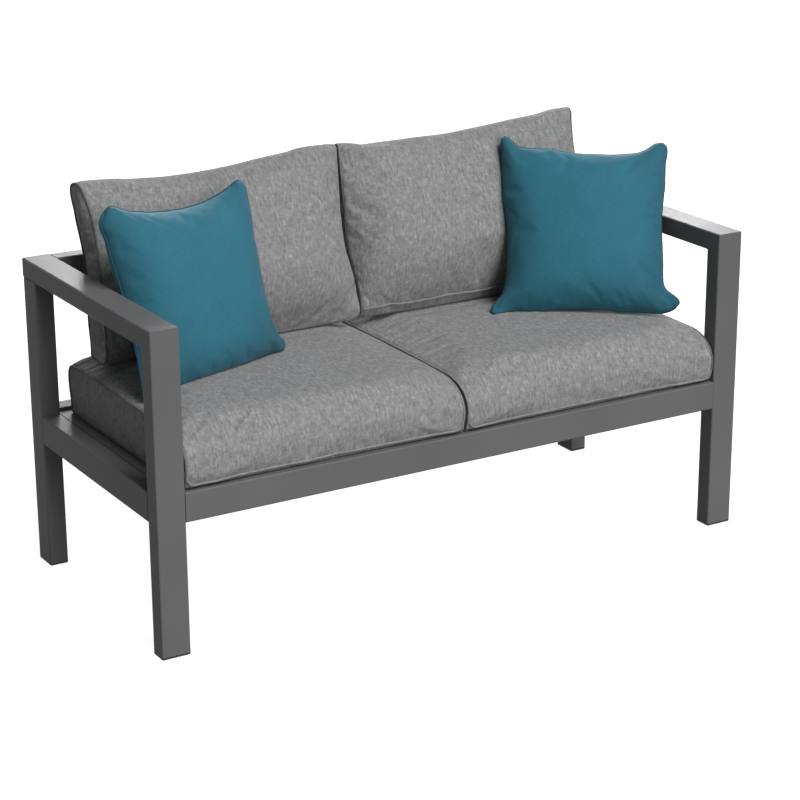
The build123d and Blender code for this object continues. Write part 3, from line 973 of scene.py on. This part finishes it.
left_heads = ((0, 357), (0.06, 358), (0.127, 360), (0.16, 361), (0.2, 357), (0.33, 351),
              (0.46, 351), (0.58, 355), (0.70, 365), (0.80, 369), (0.86, 372), (0.90, 370),
              (1, 363))
right_heads = ((0, 364), (0.09, 363), (0.17, 364), (0.26, 363), (0.37, 364), (0.47, 365),
               (0.58, 368), (0.69, 373), (0.80, 378), (0.88, 381), (0.94, 380), (1, 375))
left_outer = {"rear_waist": 0.114, "front_waist": 0.198, "rear_head": 0.066,
              "front_head": 0.124, "crown": 0.104, "bulge": -0.012}
right_outer = {"rear_waist": 0.098, "front_waist": 0.165, "rear_head": 0.052,
               "front_head": 0.094, "crown": 0.078, "bulge": 0.004}
skins = {}
for side, sign, heads, outer, seed in (
        ("left", -1, left_heads, left_outer, 2), ("right", 1, right_heads, right_outer, 5)):
    for body, pieces in (
            ("seat", seat_cushion(side, sign, seed)),
            ("back", back_cushion(side, sign, heads, outer, seed + 10))):
        cover = pieces[0]
        for piece in pieces:
            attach(piece, f"{side}_{body}")
        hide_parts(f"{side}_{body}_cushion")
        skins[side, body] = skin_of(cover.data)

left_dips = (
    ((-1, 2), (-0.93, -7), (-0.86, -7), (-0.76, 4), (-0.64, 12), (-0.4, 24), (-0.18, 31),
     (0.04, 36), (0.32, 36), (0.55, 31), (0.76, 21), (0.88, 13), (1, 13)),
    ((-1, 5), (-0.93, 0), (-0.87, 3), (-0.79, 17), (-0.6, 24), (-0.3, 28), (-0.05, 25),
     (0.35, 19), (0.6, 11), (1, 0)),
    ((-1, 0), (-0.5, 4), (0.4, 2), (0.75, 8), (1, 0)),
    ((-1, -9), (-0.75, -2), (-0.55, 3), (-0.35, 7), (0.24, 5), (0.53, 2), (0.71, 3),
     (0.82, -2), (0.9, -2), (0.96, 5), (1, 12)))
right_dips = (
    ((-1, -16), (-0.92, -14), (-0.86, -2), (-0.78, 12), (-0.58, 15), (-0.35, 18), (-0.23, 24),
     (0, 28), (0.36, 31), (0.64, 28), (0.74, 21), (0.85, 7), (1, 4)),
    ((-1, -14), (-0.90, -15), (-0.83, -2), (-0.77, 16), (-0.67, 21), (-0.45, 20), (0.08, 22),
     (0.48, 14), (0.72, 13), (0.86, 9), (1, 8)),
    ((-1, -20), (-0.82, 0), (-0.54, 2), (-0.25, 7), (0.05, 8), (0.43, 0), (0.81, -4), (1, 4)),
    ((-1, -12), (-0.87, -15), (-0.80, -4), (-0.74, 10), (-0.63, 16), (-0.49, 20),
     (-0.06, 21), (0.32, 10), (0.81, 8), (1, 5)))
for side, place, turns, dips, curl, seed in (
        ("left", (-0.4384, 0.002, 0.6298), (15.0, 16.5, -2.5), left_dips, 0.0, 31),
        ("right", (0.4684, -0.0319, 0.6305), (-35.3, 25.5, -1.35), right_dips, 0.024, 37)):
    cover, cord = throw_pillow(
        side + "_pillow_cover", place, turns, PILLOW_HALF, dips, curl, seed, pillow_cloth,
        cord_tree, [skins[side, "seat"], skins[side, "back"]])
    for piece in (cover, cord):
        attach(piece, side + "_pillow")
    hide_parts(side + "_throw_pillow")


# The studio

def white_floor():
    """Pale floor that renders white and keeps a faint shadow."""
    material, tree, surface = shader("pale_floor")
    set_inputs(surface, {
        "Base Color": (0.28, 0.28, 0.28, 1.0), "Roughness": 0.9, "Specular IOR Level": 0.0})
    output = next(n for n in tree.nodes if n.type == "OUTPUT_MATERIAL")
    ray = node(tree, "ShaderNodeLightPath")
    seen = math_node(tree, "MAXIMUM", ray.outputs["Is Camera Ray"],
                     ray.outputs["Is Transmission Ray"])
    seen = math_node(tree, "ADD", math_node(tree, "MULTIPLY", seen, 0.92),
                     math_node(tree, "MULTIPLY", ray.outputs["Is Glossy Ray"], 0.45))
    glow = node(tree, "ShaderNodeEmission", links=[("Strength", seen)])
    glow.inputs["Color"].default_value = (1.0, 1.0, 1.0, 1.0)
    both = node(tree, "ShaderNodeAddShader", links=[
        (0, surface.outputs["BSDF"]), (1, glow.outputs["Emission"])])
    tree.links.new(both.outputs["Shader"], output.inputs["Surface"])
    return material


floor_mesh = mesh_of("floor", [(-30, -30, 0), (30, -30, 0), (30, 30, 0), (-30, 30, 0)],
                     [(0, 1, 2, 3)])
floor = new_piece("floor", floor_mesh, white_floor())


def studio_world(level):
    """White to the camera and in reflections, and a plain soft level on matt surfaces."""
    world = bpy.data.worlds.new("studio")
    bpy.context.scene.world = world
    world.use_nodes = True
    tree = world.node_tree
    tree.nodes.clear()
    ray = node(tree, "ShaderNodeLightPath")
    seen = math_node(tree, "MAXIMUM", ray.outputs["Is Camera Ray"], ray.outputs["Is Glossy Ray"])
    seen = math_node(tree, "MAXIMUM", seen, ray.outputs["Is Transmission Ray"])
    strength = math_node(
        tree, "ADD", math_node(tree, "MULTIPLY", seen, 1.0 - level), level)
    glow = node(tree, "ShaderNodeBackground", links=[("Strength", strength)])
    glow.inputs["Color"].default_value = (1.0, 1.0, 1.0, 1.0)
    output = node(tree, "ShaderNodeOutputWorld")
    tree.links.new(glow.outputs["Background"], output.inputs["Surface"])


def soft_box(name, place, target, width, height, power):
    """Rectangular soft box aimed at a point."""
    data = bpy.data.lights.new(name, "AREA")
    data.shape = "RECTANGLE"
    data.size = width
    data.size_y = height
    data.energy = power
    lamp = bpy.data.objects.new(name, data)
    lamp.location = place
    lamp.rotation_euler = (Vector(target) - Vector(place)).to_track_quat("-Z", "Y").to_euler()
    bpy.context.scene.collection.objects.link(lamp)


def key_light(direction, strength, spread):
    """Broad even light from a direction."""
    data = bpy.data.lights.new("key", "SUN")
    data.energy = strength
    data.angle = math.radians(spread)
    lamp = bpy.data.objects.new("key", data)
    lamp.rotation_euler = Vector(direction).to_track_quat("Z", "Y").to_euler()
    bpy.context.scene.collection.objects.link(lamp)


studio_world(0.11)
key_light((0.09, -0.60, 0.79), 2.5, 26.0)
soft_box("front_fill", (0.2, -5.6, 1.9), (0.0, 0.0, 0.45), 3.6, 2.4, 130.0)
soft_box("rear_glow", (2.0, 3.4, 1.95), (0.1, 0.1, 0.65), 2.6, 1.4, 150.0)

scene = bpy.context.scene
scene.view_settings.view_transform = "Standard"


def photo_camera():
    """Camera at the photograph's place: two turns, a slight roll and a long lens."""
    focal, width, sensor = 2287.0, 800.0, 36.0
    yaw, pitch, tilt = math.radians(30.92), math.radians(18.79), math.radians(-0.27)
    ahead = Vector((math.sin(yaw) * math.cos(pitch), math.cos(yaw) * math.cos(pitch),
                    -math.sin(pitch)))
    right = Vector((math.cos(yaw), -math.sin(yaw), 0.0))
    up = right.cross(ahead)
    across = right * math.cos(tilt) + up * math.sin(tilt)
    upward = up * math.cos(tilt) - right * math.sin(tilt)
    data = bpy.data.cameras.new("camera")
    data.sensor_width = sensor
    data.lens = focal / width * sensor
    camera = bpy.data.objects.new("camera", data)
    turn = Matrix((across, upward, -ahead)).transposed().to_4x4()
    camera.matrix_world = Matrix.Translation(Vector((-2.314, -3.905, 1.857))) @ turn
    scene.collection.objects.link(camera)
    scene.camera = camera


photo_camera()
